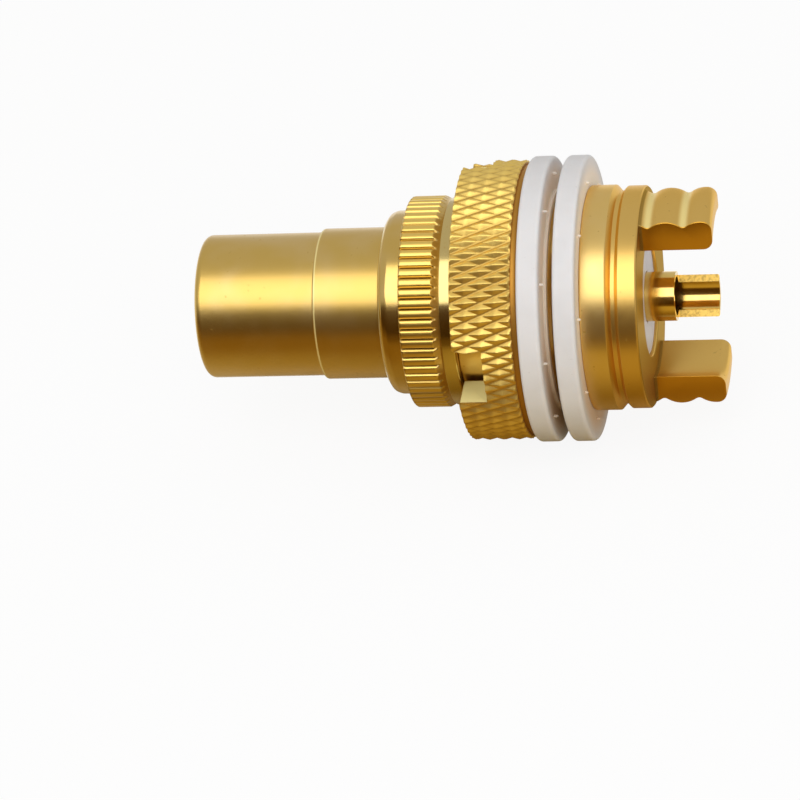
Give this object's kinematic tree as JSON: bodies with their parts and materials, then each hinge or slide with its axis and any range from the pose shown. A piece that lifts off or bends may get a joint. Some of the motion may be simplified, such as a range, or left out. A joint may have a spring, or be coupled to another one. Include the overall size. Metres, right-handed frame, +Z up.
{
  "type": "panel mount rca jack",
  "caption": "Gold plated panel RCA jack: plug barrel with grip ring, knurled panel nut, nylon washers, insulated centre socket with a solder cup, and ground tabs.",
  "frame": {"origin": "on the jack's axis, at the panel seat: the front face of the rear washer's rim", "axes": "+Y along the jack's axis towards the solder end, -Y towards the plug, +Z up through the middle of the upper ground tab"},
  "size_m": [0.0164, 0.03, 0.0164],
  "materials": {
    "gold_satin": "satin gold plate",
    "gold_knurled": "bright gold plate on a diamond knurl",
    "gold_bright": "polished gold plate",
    "nylon": "milky natural nylon",
    "ptfe": "smooth white PTFE"
  },
  "bodies": {
    "jack": {"front_barrel": "gold_satin", "rear_body": "gold_satin", "rear_washer": "nylon", "front_insulator": "ptfe", "rear_insulator": "ptfe", "centre_contact": "gold_bright"},
    "washer": {"front_washer": "nylon"},
    "nut": {"knurled_nut": "gold_knurled"}
  },
  "joints": [
    {"name": "washer_slide", "type": "slide", "parent": "jack", "child": "washer", "axis": [0, 1, 0], "range_m": [0, 0.00035]},
    {"name": "nut_turn", "type": "hinge", "parent": "washer", "child": "nut", "pos_m": [0, -0.004, 0], "axis": [0, 1, 0], "range_deg": [0, 254]}
  ],
  "couplings": [
    {"joint": "nut_turn", "follows": "washer_slide", "rad_per_m": 12566}
  ]
}
